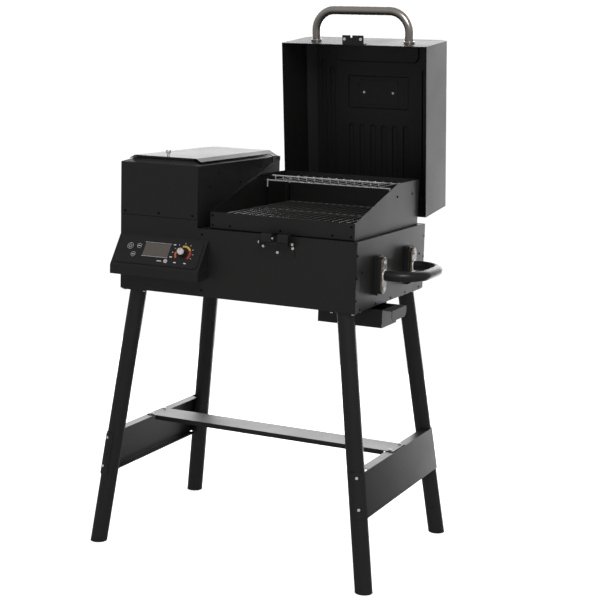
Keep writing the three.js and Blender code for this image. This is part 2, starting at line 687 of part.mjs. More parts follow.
place('control_housing', controlHousing(), blackSteel)
place('control_fascia', controlFascia(), blackPlastic)
place('display_window', onFascia(pane(gap, -1.2, fasciaThickness - 0.2)), greyGlass)
place('control_knob', controlKnob(), blackPlastic)
buttonPlaces.forEach((button) => {
  place(button.name, onFascia(fasciaRod(button.radius, button, -4, fasciaThickness + 1.2)), blackPlastic)
})
place('probe_jack', probeJack(), zincSteel)
place('control_board', onFascia(block([70, 180], [-72, -28], [-10.5, -9])), boardGreen)

function powerInlet() {
  const plate = block([142, 184], [body.depth + gap, body.depth + 3], [55, 85])
  const socket = block([149, 177], [body.depth - 22, body.depth + 1], [59, 81])
  const recess = block([152, 174], [body.depth - 15, body.depth + 4], [62, 78])
  const pins = [157, 163, 169].map((x, i) => (
    block([x - 1, x + 1], [body.depth - 16, body.depth - 3], [68 + (i % 2) * 4, 70.5 + (i % 2) * 4])))
  return join(cut(join(plate, socket), recess), pins)
}

place('power_inlet', powerInlet(), blackPlastic)

// ---------------------------------------------------------------- lid, drawn shut and then opened
const lidPivot = new THREE.Group()
lidPivot.position.set(0, hinge.y, hinge.z)
lidPivot.rotation.x = THREE.MathUtils.degToRad(-lid.openDegrees)
grill.add(lidPivot)

function placeOnLid(name, shape, material) {
  place(name, shape.translate([0, -hinge.y, -hinge.z]), material, lidPivot)
}

const lidRear = lid.front + lid.length
const lidTop = lid.rim + lid.wall + lid.chamfer
const lidCentre = (lid.left + lid.right) / 2

// Cross-section of the lid, pulled in on every side by inset, from a height bottom upwards.
function lidSection(inset, bottom) {
  const corner = inset * (Math.SQRT2 - 1)
  const shoulder = lidTop - lid.chamfer - corner
  const flat = lid.chamfer + corner
  return [
    [bottom, lid.left + inset], [shoulder, lid.left + inset], [lidTop - inset, lid.left + flat],
    [lidTop - inset, lid.right - flat], [shoulder, lid.right - inset], [bottom, lid.right - inset],
  ]
}

// A region pressed out of the lid's top sheet by a rise, or into it where the rise is negative.
function pressed(shell, outline, rise) {
  const level = rise > 0 ? [lidTop - 0.5, lidTop + rise] : [lidTop - sheet + rise, lidTop - 0.5]
  const hollow = rise > 0 ? [lidTop - sheet - 1, lidTop + rise - sheet] : [lidTop + rise, lidTop + 1]
  return cut(join(shell, prism(outline(0), 'z', ...level)), prism(outline(sheet), 'z', ...hollow))
}

function pressing(width, from, to, radius, x) {
  const depth = to - from
  return (inset) => roundedRectangle(
    width - 2 * inset, depth - 2 * inset, Math.max(radius - inset, 1), x, lid.front + (from + to) / 2,
  )
}

// A rib runs back from a half-round front end to a square rear one.
function rib(from, to, x) {
  return (inset) => {
    const radius = emboss.ribWidth / 2 - inset
    const front = lid.front + from + emboss.ribWidth / 2
    const rear = lid.front + to - inset
    const end = Array.from({ length: 7 }, (_, i) => {
      const angle = Math.PI * (1 + i / 6)
      return [x + radius * Math.cos(angle), front + radius * Math.sin(angle)]
    })
    return [...end, [x + radius, rear], [x - radius, rear]]
  }
}

function lidShell() {
  const outer = prism(lidSection(0, lid.rim), 'y', lid.front, lidRear)
  const inside = prism(lidSection(sheet, lid.rim - 1), 'y', lid.front + sheet, lidRear - sheet)
  const ribEnd = lid.length - emboss.ribEnd
  const { pocket, badge, shortRibs } = emboss
  const longRibs = emboss.longRibs.flatMap(({ offset, from }) => (
    [-offset, offset].map((side) => rib(from, ribEnd, lidCentre + side))))
  const middleRibs = Array.from({ length: shortRibs.count }, (_, i) => {
    const x = lidCentre + (i - (shortRibs.count - 1) / 2) * shortRibs.spacing
    return rib(shortRibs.from, ribEnd, x)
  })
  const badgePad = pressing(badge.width, badge.from, badge.to, 8, lidCentre)
  const raised = [...longRibs, ...middleRibs, badgePad]
  const shell = raised.reduce((sofar, outline) => pressed(sofar, outline, emboss.height), cut(outer, inside))
  return pressed(shell, pressing(pocket.width, pocket.front, pocket.rear, 16, lidCentre), -pocket.drop)
}

function lidHandleBar() {
  const z = lid.rim + lidHandle.depth
  const y = lid.front - gap
  const foot = vector(lidCentre - lidHandle.span / 2, y, z)
  const otherFoot = vector(lidCentre + lidHandle.span / 2, y, z)
  return bentHandle(foot, otherFoot, vector(0, -lidHandle.reach, 0), lidHandle.bend, lidHandle.radius)
}

// A bracket on the front of the lid, with a shelf that the latch fingers hook over.
function lidCatch() {
  const x = [latchCatch.x - latchCatch.width / 2, latchCatch.x + latchCatch.width / 2]
  const plate = block(x, [lid.front - gap - 2, lid.front - gap], [lid.rim, lid.rim + 22])
  const shelf = block(x, [-latchCatch.reach, lid.front - gap], [lid.rim, lid.rim + 1.8])
  const notch = block(latchCatch.notch, [-latchCatch.reach - 1, -15.5], [lid.rim - 1, lid.rim + 3])
  return cut(join(plate, shelf), notch)
}

// Hinge knuckles take turns along the pin: three on the body leaf, two on the lid leaf.
function knuckleRange(index) {
  const from = hinge.left + index * hinge.knuckle
  return [from + gap, from + hinge.knuckle - gap]
}

function bodyHingeLeaf() {
  const leaf = block([hinge.left, hinge.right], [body.depth + gap, body.depth + gap + sheet], [124, 164])
  const knuckles = [0, 2, 4].map(knuckleRange).map((x) => join(
    rod(hinge.barrel, 'x', x[0], x[1], [hinge.y, hinge.z], 16),
    block(x, [body.depth + gap, body.depth + gap + sheet], [163, hinge.z]),
  ))
  const pin = rod(hinge.pin, 'x', hinge.left + 1, hinge.right - 1, [hinge.y, hinge.z], 12)
  return join(leaf, knuckles, pin)
}

function lidHingeLeaf() {
  const wallFace = lidRear + gap
  const leaf = block([hinge.left, hinge.right], [wallFace, wallFace + sheet], [hinge.z + 6, hinge.z + 40])
  const knuckles = [1, 3].map(knuckleRange).map((x) => cut(
    join(
      rod(hinge.barrel, 'x', x[0], x[1], [hinge.y, hinge.z], 16),
      block(x, [wallFace, hinge.y], [hinge.z + 1.2, hinge.z + 2.7]),
      block(x, [wallFace, wallFace + sheet], [hinge.z + 1.2, hinge.z + 7]),
    ),
    rod(hinge.pin + gap, 'x', x[0] - 1, x[1] + 1, [hinge.y, hinge.z], 16),
  ))
  return join(leaf, knuckles)
}

placeOnLid('lid_shell', lidShell(), blackSteel)
placeOnLid('lid_handle', lidHandleBar(), brushedSteel)
placeOnLid('lid_catch', lidCatch(), blackSteel)
placeOnLid('lid_hinge_leaf', lidHingeLeaf(), blackSteel)
place('body_hinge_leaf', bodyHingeLeaf(), blackSteel)

// ---------------------------------------------------------------- lid latch on the body front
function latchBase() {
  const plate = block([latch.x - 42, latch.x + 42], [-2.3, -gap], [115, 163])
  const ears = [-40.5, 38.5].map((offset) => (
    block([latch.x + offset, latch.x + offset + 2], [latch.pinY - 5, -1], [latch.z - 7, latch.z + 7])))
  const pin = rod(2, 'x', latch.x - 42.5, latch.x + 42.5, [latch.pinY, latch.z], 16)
  return join(plate, ears, pin)
}

function latchLever() {
  const x = [latch.x - latch.width / 2, latch.x + latch.width / 2]
  const front = block(x, [latch.frontY, latch.frontY + 2], [latch.bottom, latch.top])
  const fingers = block(x, [latch.frontY, latch.frontY + 17], [latch.top - 2, latch.top])
  const notch = block([latch.x - 8, latch.x + 8], [-40, 0], [151, 180])
  const ears = [x[0], x[1] - 2].map((from) => (
    block([from, from + 2], [latch.frontY, latch.pinY + 5], [latch.z - 6, latch.z + 11])))
  const bore = rod(2 + gap, 'x', x[0] - 1, x[1] + 1, [latch.pinY, latch.z], 16)
  return cut(join(cut(join(front, fingers), notch), ears), bore)
}

place('latch_base', latchBase(), blackSteel)
place('latch_lever', latchLever(), blackSteel)

// ---------------------------------------------------------------- side handle
function handleBracket(y) {
  const foot = roundedRectangle(bracket.width, bracket.height + 6, 4, y, sideHandle.z)
  const head = roundedRectangle(bracket.width - 2, bracket.height, 12, y, sideHandle.z)
  return join(
    prism(foot, 'x', body.length + gap, bracket.step + 0.5),
    prism(head, 'x', bracket.step, bracket.outer),
  )
}

function handleFlange(y) {
  const outer = bracket.outer + gap
  const outline = roundedRectangle(bracket.width - 3, bracket.height - 2, 14.5, y, sideHandle.z)
  const plate = prism(outline, 'x', outer, outer + bracket.plate)
  const holes = [-31, 31].map((rise) => rod(2.6, 'x', outer - 1, outer + 4, [y, sideHandle.z + rise], 12))
  return cut(plate, holes)
}

const handleStart = bracket.outer + bracket.plate + 2 * gap

for (const [side, y] of [['front', sideHandle.front], ['rear', sideHandle.rear]]) {
  place(`side_handle_bracket_${side}`, handleBracket(y), blackPlastic)
  place(`side_handle_flange_${side}`, handleFlange(y), zincSteel)
}
place('side_handle_tube', bentHandle(
  vector(handleStart, sideHandle.front, sideHandle.z),
  vector(handleStart, sideHandle.rear, sideHandle.z),
  vector(sideHandle.reach - handleStart, 0, 0),
  sideHandle.bend,
  sideHandle.radius,
), blackTube)

// ---------------------------------------------------------------- grease box under the body
function greaseBoxShell() {
  const box = greaseBox
  const outer = block([box.left, box.right], [box.front, box.rear], [box.bottom, box.top])
  const inside = block(
    [box.left + sheet, box.right - sheet],
    [box.front + sheet, box.rear - sheet],
    [box.bottom + sheet, box.top + 2],
  )
  const lips = [[box.front - 6, box.front + 1], [box.rear - 1, box.rear + 6]].map((y) => (
    block(railX, y, [box.top - 3 + gap, box.top])))
  const pullX = [box.right - 1, box.right + box.pull]
  const pullTop = block(pullX, [box.front, box.rear], [box.top - sheet, box.top])
  const pullBottom = box.top - 26
  const pullOutline = [
    [box.front, box.top], [box.front, pullBottom + 9], [box.front + 9, pullBottom],
    [box.rear - 9, pullBottom], [box.rear, pullBottom + 9], [box.rear, box.top],
  ]
  const pullFace = prism(pullOutline, 'x', box.right + box.pull - sheet, box.right + box.pull)
  return join(cut(outer, inside), lips, pullTop, pullFace)
}

place('grease_box', greaseBoxShell(), blackSteel)

// ---------------------------------------------------------------- legs, braces and crossbar
const corners = [
  { name: 'front_left', right: false, rear: false },
  { name: 'front_right', right: true, rear: false },
  { name: 'rear_left', right: false, rear: true },
  { name: 'rear_right', right: true, rear: true },
]

// Centre of a leg at a height z, which is 0 at the body and negative below it. The feet stand a
// little off centre, by legs.lean to the right.
function legCentre(corner, z) {
  const share = -z / legs.height
  const x = legs.topInset[0] - share * (legs.topInset[0] + legs.footOutset[0])
  const y = legs.topInset[1] - share * (legs.topInset[1] + legs.footOutset[1])
  const lean = share * legs.lean
  return [(corner.right ? body.length - x : x) + lean, corner.rear ? body.depth - y : y]
}

// A slanted round bar along a leg's axis, cut level at both ends.
function alongLeg(corner, radius, bottom, top) {
  return ruled(
    circle(...legCentre(corner, bottom), radius),
    circle(...legCentre(corner, top), radius),
    bottom,
    top,
  )
}

function leg(corner) {
  const plateTop = -gap
  const plateBottom = -2.8
  const [x, y] = legCentre(corner, 0)
  const tube = alongLeg(corner, legs.radius, -legs.height + gap, plateBottom + 0.5)
  const bore = alongLeg(corner, legs.radius - legs.wall, -legs.height - 1, plateBottom)
  const plate = block([x - 33, x + 33], [y - 26, y + 26], [plateBottom, plateTop])
  return join(cut(tube, bore), plate)
}

function footCap(corner) {
  const floor = -legs.height - legs.pad
  const pad = alongLeg(corner, legs.radius + 0.4, floor, -legs.height)
  const plug = alongLeg(corner, legs.radius - legs.wall - gap, floor + 1, -legs.height + 16)
  return join(pad, plug)
}

// Plan outline of a side brace at height z: a strip along the outer side of the two legs, wrapped
// round the front of the front leg and the back of the rear leg.
function braceOutline(right, z) {
  const steps = 10
  const side = right ? 1 : -1
  const clearance = legs.radius + gap + 0.3
  const wrap = THREE.MathUtils.degToRad(brace.wrapDegrees)
  const line = (radius) => {
    const points = []
    for (const rear of [false, true]) {
      const [x, y] = legCentre({ right, rear }, z)
      const turn = rear ? 1 : -1
      for (let i = 0; i <= steps; i += 1) {
        const angle = wrap * (rear ? i / steps : 1 - i / steps)
        points.push([x + side * radius * Math.cos(angle), y + turn * radius * Math.sin(angle)])
      }
    }
    return points
  }
  const ring = [...line(clearance + brace.thickness), ...line(clearance).reverse()]
  return right ? ring : ring.reverse()
}

function sideBrace(right) {
  const bottom = brace.top - brace.height
  const plate = ruled(braceOutline(right, bottom), braceOutline(right, brace.top), bottom, brace.top)
  const flangeAt = (z) => {
    const [x, frontY] = legCentre({ right, rear: false }, z)
    const rearY = legCentre({ right, rear: true }, z)[1]
    const outer = right ? x + legs.radius + 1.5 : x - legs.radius - 1.5
    const inner = right ? outer - brace.flange : outer + brace.flange
    const range = [Math.min(inner, outer), Math.max(inner, outer)]
    return block(range, [frontY + legs.radius + 3, rearY - legs.radius - 3], [z, z + brace.thickness])
  }
  return join(plate, flangeAt(brace.top - brace.thickness), flangeAt(bottom))
}

// A channel that lies on the upper flanges of both braces, with its lips hanging between them.
function crossbarChannel() {
  const bottom = brace.top + gap
  const top = bottom + brace.thickness
  const left = legCentre({ right: false, rear: false }, brace.top)[0] - legs.radius
  const right = legCentre({ right: true, rear: false }, brace.top)[0] + legs.radius
  const y = [body.depth / 2 - crossbar.width / 2, body.depth / 2 + crossbar.width / 2]
  const plate = block([left, right], y, [bottom, top])
  const lipX = [left + brace.flange + 2, right - brace.flange - 2]
  const lips = [[y[0], y[0] + brace.thickness], [y[1] - brace.thickness, y[1]]].map((range) => (
    block(lipX, range, [top - crossbar.lip, bottom + 0.5])))
  return join(plate, lips)
}

for (const corner of corners) {
  place(`leg_${corner.name}`, leg(corner), blackTube)
  place(`foot_cap_${corner.name}`, footCap(corner), blackPlastic)
}
place('side_brace_left', sideBrace(false), blackSteel)
place('side_brace_right', sideBrace(true), blackSteel)
place('crossbar', crossbarChannel(), blackSteel)

// ---------------------------------------------------------------- stand the grill on its floor centre
const part = new THREE.Group()
part.add(grill)
const bounds = new THREE.Box3().setFromObject(part, true)
const centre = bounds.getCenter(new THREE.Vector3())
grill.position.set(-centre.x, -centre.y, -bounds.min.z)

export default part
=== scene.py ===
"""Looks of a pellet smoker grill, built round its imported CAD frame.

Every CAD node gets a softened copy with rounded edges, or a finer piece made here, and the small
parts that the CAD leaves out are added: screws, rivets, collars, gaskets, printed marks and wires.
Places are millimetres from the front, left, bottom corner of the body box.
"""

import json
import math

import bmesh
import bpy
from mathutils import Matrix, Vector

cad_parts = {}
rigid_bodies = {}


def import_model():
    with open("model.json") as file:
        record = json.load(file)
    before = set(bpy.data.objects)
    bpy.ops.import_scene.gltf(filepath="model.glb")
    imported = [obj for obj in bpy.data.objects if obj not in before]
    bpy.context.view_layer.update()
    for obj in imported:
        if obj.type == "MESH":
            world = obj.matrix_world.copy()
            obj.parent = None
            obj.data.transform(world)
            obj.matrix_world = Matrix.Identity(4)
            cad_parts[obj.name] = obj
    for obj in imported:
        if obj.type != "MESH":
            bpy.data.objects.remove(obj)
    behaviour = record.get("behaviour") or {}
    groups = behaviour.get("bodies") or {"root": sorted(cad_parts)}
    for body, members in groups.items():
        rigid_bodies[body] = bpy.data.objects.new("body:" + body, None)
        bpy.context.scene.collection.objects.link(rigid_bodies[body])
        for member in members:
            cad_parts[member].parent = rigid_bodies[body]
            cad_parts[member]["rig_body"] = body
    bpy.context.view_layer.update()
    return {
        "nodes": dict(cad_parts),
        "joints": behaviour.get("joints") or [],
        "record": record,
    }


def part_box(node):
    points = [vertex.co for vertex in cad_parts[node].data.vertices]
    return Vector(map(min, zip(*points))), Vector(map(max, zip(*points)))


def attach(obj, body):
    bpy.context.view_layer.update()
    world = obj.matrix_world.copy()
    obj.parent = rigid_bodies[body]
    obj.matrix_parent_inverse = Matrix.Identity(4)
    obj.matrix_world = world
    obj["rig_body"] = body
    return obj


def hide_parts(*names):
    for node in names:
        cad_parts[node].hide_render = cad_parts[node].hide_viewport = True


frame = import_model()

# ---------------------------------------------------------------- frames of reference
MM = 0.001
RIGHT = Vector((1, 0, 0))
BACK = Vector((0, 1, 0))
UP = Vector((0, 0, 1))
JOINTS = {joint["name"]: joint for joint in frame["joints"]}


def axes(x, y, z, origin=(0, 0, 0)):
    """The matrix whose columns are three directions and an origin."""
    turn = Matrix((x, y, z)).transposed().to_4x4()
    return Matrix.Translation(Vector(origin)) @ turn


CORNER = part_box("front_panel")[0]
BODY = Matrix.Translation(CORNER) @ Matrix.Scale(MM, 4)

# Each face's frame has its third axis out of the surface.
FRONT = BODY @ axes(RIGHT, UP, -BACK)
REAR = BODY @ axes(-RIGHT, UP, BACK)
RIGHT_SIDE = BODY @ axes(BACK, UP, RIGHT)
LEFT_SIDE = BODY @ axes(-BACK, UP, -RIGHT)
UNDERSIDE = BODY @ axes(RIGHT, -BACK, -UP)

# The lid is drawn shut, and then turned open about its hinge.
HINGE = Vector(JOINTS["lid_hinge"]["pos_m"])
OPENED = math.radians(JOINTS["lid_hinge"]["range_deg"][0])
LID = Matrix.Translation(HINGE) @ Matrix.Rotation(OPENED, 4, "X") @ Matrix.Translation(-HINGE) @ BODY
LID_FRONT = LID @ axes(RIGHT, UP, -BACK)
LID_REAR = LID @ axes(-RIGHT, UP, BACK)
LID_UNDER = LID @ axes(RIGHT, -BACK, -UP)

# The fascia's frame: x right from the body's left side, y up the slope from its top edge.
OUT_OF_FASCIA = Vector(JOINTS["dial_turn"]["axis"])
housing_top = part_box("control_housing")[1]
FASCIA = axes(
    RIGHT, OUT_OF_FASCIA.cross(RIGHT), OUT_OF_FASCIA, (CORNER.x, housing_top.y, housing_top.z)
) @ Matrix.Scale(MM, 4)


def size_of(node):
    """Lowest and highest corners of a CAD node, in millimetres from the body's corner."""
    low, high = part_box(node)
    return (low - CORNER) / MM, (high - CORNER) / MM


def spread(first, last, count):
    return [first + (last - first) * i / (count - 1) for i in range(count)]


# ---------------------------------------------------------------- materials
def finish(name, colour, roughness, metallic=0.0, specular=0.5, grain=600.0, relief=0.02,
           stretch=(1, 1, 1), contrast=0.12, coat=0.0, glow=0.0):
    """A procedural finish: a fine noise varies its tone and gloss and roughens its surface.

    The grain is in waves per metre, and the relief in millimetres.
    """
    made = bpy.data.materials.new(name)
    made.use_nodes = True
    nodes = made.node_tree.nodes
    link = made.node_tree.links.new
    shader = nodes["Principled BSDF"]
    shader.inputs["Metallic"].default_value = metallic
    shader.inputs["Specular IOR Level"].default_value = specular
    shader.inputs["Coat Weight"].default_value = coat
    shader.inputs["Coat Roughness"].default_value = 0.15
    place = nodes.new("ShaderNodeTexCoord")
    mapping = nodes.new("ShaderNodeMapping")
    mapping.inputs["Scale"].default_value = stretch
    noise = nodes.new("ShaderNodeTexNoise")
    noise.inputs["Scale"].default_value = grain
    noise.inputs["Detail"].default_value = 3.0
    wear = nodes.new("ShaderNodeTexNoise")
    wear.inputs["Scale"].default_value = 9.0
    wear.inputs["Detail"].default_value = 4.0
    tone = nodes.new("ShaderNodeValToRGB")
    tone.color_ramp.elements[0].position = 0.3
    tone.color_ramp.elements[1].position = 0.7
    tone.color_ramp.elements[0].color = [part * (1 - contrast) for part in colour] + [1]
    tone.color_ramp.elements[1].color = [part * (1 + contrast) for part in colour] + [1]
    gloss = nodes.new("ShaderNodeMapRange")
    gloss.inputs["From Min"].default_value = 0.3
    gloss.inputs["From Max"].default_value = 0.7
    gloss.inputs["To Min"].default_value = roughness * 0.93
    gloss.inputs["To Max"].default_value = roughness * 1.07
    bump = nodes.new("ShaderNodeBump")
    bump.inputs["Strength"].default_value = 1.0
    bump.inputs["Distance"].default_value = relief * MM
    link(place.outputs["Object"], mapping.inputs["Vector"])
    link(mapping.outputs["Vector"], noise.inputs["Vector"])
    link(place.outputs["Object"], wear.inputs["Vector"])
    link(noise.outputs["Fac"], tone.inputs["Fac"])
    link(tone.outputs["Color"], shader.inputs["Base Color"])
    link(wear.outputs["Fac"], gloss.inputs["Value"])
    link(gloss.outputs["Result"], shader.inputs["Roughness"])
    link(noise.outputs["Fac"], bump.inputs["Height"])
    link(bump.outputs["Normal"], shader.inputs["Normal"])
    if glow:
        link(tone.outputs["Color"], shader.inputs["Emission Color"])
        shader.inputs["Emission Strength"].default_value = glow
    return made


FINISHES = {
    "black_powder_coat": finish("powder_coat", (0.0105, 0.0100, 0.0097), 0.42, grain=900, relief=0.012),
    "black_tube": finish("tube_paint", (0.0105, 0.0102, 0.0100), 0.34, grain=700, relief=0.006),
    "brushed_stainless": finish(
        "brushed_stainless", (0.68, 0.63, 0.58), 0.23, metallic=1.0, grain=150, relief=0.006,
        stretch=(2, 30, 30), contrast=0.16,
    ),
    "zinc": finish("zinc", (0.8, 0.79, 0.77), 0.33, metallic=0.55, grain=260, relief=0.004),
    "chrome_wire": finish("chrome_wire", (0.88, 0.88, 0.88), 0.2, metallic=0.5, relief=0.001),
    "dark_iron": finish("seasoned_iron", (0.017, 0.016, 0.015), 0.5, grain=500, relief=0.03),
    "bare_steel": finish("bare_steel", (0.3, 0.29, 0.28), 0.42, metallic=1.0, grain=200, relief=0.006),
    "black_plastic": finish("black_plastic", (0.011, 0.011, 0.011), 0.38, grain=1200, relief=0.006),
    "display_glass": finish("display_glass", (0.122, 0.108, 0.095), 0.12, relief=0.0, contrast=0.04),
    "board": finish("circuit_board", (0.013, 0.07, 0.028), 0.5, grain=400, relief=0.02),
}
# Finishes of small pieces and marks that are in no slot.
OTHER_FINISHES = {
    "white": finish("white_print", (0.7, 0.7, 0.68), 0.5, relief=0.001, contrast=0.05),
    "yellow": finish("yellow_print", (0.78, 0.5, 0.05), 0.5, relief=0.001, contrast=0.05),
    "red": finish("red_print", (0.55, 0.035, 0.02), 0.5, relief=0.001, contrast=0.05),
    "orange": finish("orange_print", (0.7, 0.14, 0.03), 0.5, relief=0.001, contrast=0.05),
    "flange": finish("flange_steel", (0.34, 0.33, 0.31), 0.33, metallic=1.0, grain=260, relief=0.004),
    "rivet": finish("rivet_black", (0.002, 0.002, 0.002), 0.5, specular=0.08, relief=0.004),
    "cap": finish("silver_cap", (0.82, 0.82, 0.8), 0.36, metallic=0.35, relief=0.002),
    "enamel": finish("grate_enamel", (0.14, 0.14, 0.135), 0.2, metallic=0.6, specular=1.0, relief=0.004),
    "gasket": finish("brass_gasket", (0.45, 0.3, 0.12), 0.45, metallic=0.6, relief=0.01),
}
SLOTS = {row["node"]: row["material_slot"] for row in frame["record"]["subparts"]}


# ---------------------------------------------------------------- pieces
def add_piece(name, mesh, body, slot, material=None, replaced=()):
    piece = bpy.data.objects.new(name, mesh)
    bpy.context.scene.collection.objects.link(piece)
    mesh.materials.clear()
    mesh.materials.append(material or FINISHES[slot])
    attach(piece, body)
    if replaced:
        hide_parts(*replaced)
    return piece


def shade(mesh, angle=35):
    mesh.polygons.foreach_set("use_smooth", [True] * len(mesh.polygons))
    mesh.set_sharp_from_angle(angle=math.radians(angle))


def make(name, body, slot, draw, material=None, replaced=(), edge=0.0):
    """A piece drawn into a bmesh by draw, with its edges rounded by edge millimetres."""
    shape = bmesh.new()
    draw(shape)
    bmesh.ops.remove_doubles(shape, verts=shape.verts, dist=1e-7)
    bmesh.ops.dissolve_degenerate(shape, edges=shape.edges, dist=1e-7)
    bmesh.ops.recalc_face_normals(shape, faces=shape.faces)
    mesh = bpy.data.meshes.new(name)
    shape.to_mesh(mesh)
    shape.free()
    shade(mesh)
    piece = add_piece(name, mesh, body, slot, material, replaced)
    if edge:
        round_edges(piece, edge)
    return piece


def round_edges(piece, width, segments=2, limit=40):
    bevel = piece.modifiers.new("round_edges", "BEVEL")
    bevel.width = width * MM
    bevel.segments = segments
    bevel.limit_method = "ANGLE"
    bevel.angle_limit = math.radians(limit)
    bevel.harden_normals = True
    bevel.miter_outer = "MITER_ARC"


OWN_FINISH = {"side_handle_flange_front": "flange", "side_handle_flange_rear": "flange"}


def soften(node, width=0.5, segments=2, limit=40, whole=True):
    """Replaces a CAD node with a copy that has rounded edges, and if asked whole flat faces."""
    source = frame["nodes"][node]
    shape = bmesh.new()
    shape.from_mesh(source.data)
    bmesh.ops.remove_doubles(shape, verts=shape.verts, dist=1e-6)
    if whole:
        flat = math.radians(0.5)
        bmesh.ops.dissolve_limit(shape, angle_limit=flat, verts=shape.verts, edges=shape.edges)
    mesh = bpy.data.meshes.new(node + "_soft")
    shape.to_mesh(mesh)
    shape.free()
    shade(mesh)
    piece = add_piece(node + "_soft", mesh, source["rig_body"], SLOTS[node], replaced=[node])
    if node in OWN_FINISH:
        mesh.materials[0] = OTHER_FINISHES[OWN_FINISH[node]]
    if width:
        round_edges(piece, width, segments, limit)
    return piece


# ---------------------------------------------------------------- drawing
def ring_of(shape, centre, side, other, radius, segments, hexagon=False):
    verts = []
    for i in range(segments):
        angle = 2 * math.pi * i / segments
        reach = radius
        if hexagon:
            reach *= math.cos(math.pi / 6) / math.cos(angle % (math.pi / 3) - math.pi / 6)
        verts.append(shape.verts.new(centre + (side * math.cos(angle) + other * math.sin(angle)) * reach))
    return verts


def bridge(shape, rings):
    for low, high in zip(rings, rings[1:]):
        for i in range(len(low)):
            j = (i + 1) % len(low)
            shape.faces.new((low[i], low[j], high[j], high[i]))
    shape.faces.new(rings[0][::-1])
    shape.faces.new(rings[-1])


def revolve(shape, profile, matrix, spot=(0, 0, 0), segments=32, hexagon=()):
    """Turns (radius, height) pairs about the third axis of a frame, at a spot in it.

    The rings whose numbers are in hexagon are six-sided.
    """
    turn = matrix.to_3x3()
    centre = matrix @ Vector(spot)
    rings = []
    for number, (radius, height) in enumerate(profile):
        level = centre + turn @ Vector((0, 0, height))
        side = turn @ RIGHT
        other = turn @ BACK
        rings.append(ring_of(shape, level, side, other, max(radius, 1e-4), segments, number in hexagon))
    bridge(shape, rings)


def sweep(shape, points, radius, segments=24):
    """A round bar of a radius in metres along a line of points."""
    rings = []
    side = None
    for i, point in enumerate(points):
        along = (points[min(i + 1, len(points) - 1)] - points[max(i - 1, 0)]).normalized()
        side = side or along.orthogonal()
        side = (side - along * side.dot(along)).normalized()
        rings.append(ring_of(shape, point, side, along.cross(side), radius, segments))
    bridge(shape, rings)


def plate(shape, outline, matrix, low, high):
    """A flat plate: an outline in a frame's first two axes, between two heights along its third."""
    bottom = [shape.verts.new(matrix @ Vector((a, b, low))) for a, b in outline]
    top = [shape.verts.new(matrix @ Vector((a, b, high))) for a, b in outline]
    bridge(shape, [bottom, top])


def rounded(width, height, radius, centre=(0, 0), steps=6):
    """The outline of a rectangle with round corners."""
    points = []
    corners = ((1, 1), (-1, 1), (-1, -1), (1, -1))
    for quarter, (across, along) in enumerate(corners):
        x = centre[0] + across * (width / 2 - radius)
        y = centre[1] + along * (height / 2 - radius)
        for i in range(steps + 1):
            angle = math.pi / 2 * (quarter + i / steps)
            points.append((x + radius * math.cos(angle), y + radius * math.sin(angle)))
    return points


def arc_band(centre, inner, outer, start, end, steps=20):
    """The outline of a part of a flat ring, between two angles in degrees."""
    def line(radius, angles):
        return [(centre[0] + radius * math.cos(a), centre[1] + radius * math.sin(a)) for a in angles]

    angles = [math.radians(a) for a in spread(start, end, steps)]
    return line(outer, angles) + line(inner, angles[::-1])


def bent_bar(foot, out, across, reach, span, bend, steps=14):
    """The centreline of a bar that leaves a foot along out, crosses over and comes back."""
    near = foot + out * (reach - bend) + across * bend
    far = foot + out * (reach - bend) + across * (span - bend)
    points = [foot]
    for centre, start, end in ((near, -across, out), (far, out, across)):
        for i in range(steps + 1):
            angle = math.pi / 2 * i / steps
            points.append(centre + (start * math.cos(angle) + end * math.sin(angle)) * bend)
    return points + [foot + across * span]


# Heads are drawn for a radius of 1: (radius, height) pairs.
SOCKET_HEAD = [(1, -0.1), (1, 0.3), (0.86, 0.55), (0.62, 0.66), (0.5, 0.66), (0.48, 0.3), (0, 0.3)]
RIVET_HEAD = [(1, -0.1), (0.95, 0.18), (0.75, 0.36), (0.4, 0.47), (0, 0.5)]
PIN_HEAD = [(1, -0.2), (1, 0.5), (0.8, 0.7), (0, 0.7)]


def heads(name, body, slot, matrix, spots, radius, profile=None, segments=18):
    """Screw or rivet heads of one size on one face; the black ones are a little darker than the sheet."""
    profile = profile or RIVET_HEAD
    sized = [(r * radius, h * radius) for r, h in profile]
    hexagon = (4, 5) if profile is SOCKET_HEAD else ()

    def draw(shape):
        for spot in spots:
            revolve(shape, sized, matrix, spot, segments, hexagon)

    if slot != "zinc":
        return make(name, body, None, draw, OTHER_FINISHES["rivet"])
    return make(name, body, slot, draw)


# ---------------------------------------------------------------- softened CAD nodes
EDGES = {
    "front_panel": 0.5, "rear_panel": 0.5, "left_panel": 0.5, "right_panel": 0.55, "top_deck": 0.5,
    "chamber_shell": 0.5, "hopper_shell": 0.8, "hopper_lid": 0.6, "control_housing": 1.0,
    "control_fascia": 0.7, "display_window": 0.3, "lid_catch": 0.5, "latch_base": 0.5,
    "side_handle_bracket_front": 1.6, "side_handle_bracket_rear": 1.6,
    "side_handle_flange_front": 0.6, "side_handle_flange_rear": 0.6, "grease_box": 0.5,
    "side_brace_left": 0.7, "side_brace_right": 0.7, "crossbar": 0.8, "power_inlet": 0.5,
    "lid_hinge_leaf": 0.4, "body_hinge_leaf": 0.4, "power_button": 0.6, "menu_button": 0.6,
    "light_button": 0.6, "gear_motor": 1.0, "fan_housing": 1.0, "drip_tray": 0.5, "heat_baffle": 0.5,
    "foot_cap_front_left": 0.8, "foot_cap_front_right": 0.8, "foot_cap_rear_left": 0.8,
    "foot_cap_rear_right": 0.8, "leg_front_left": 0.3, "leg_front_right": 0.3, "leg_rear_left": 0.3,
    "leg_rear_right": 0.3, "control_board": 0.2, "probe_jack": 0.3,
}
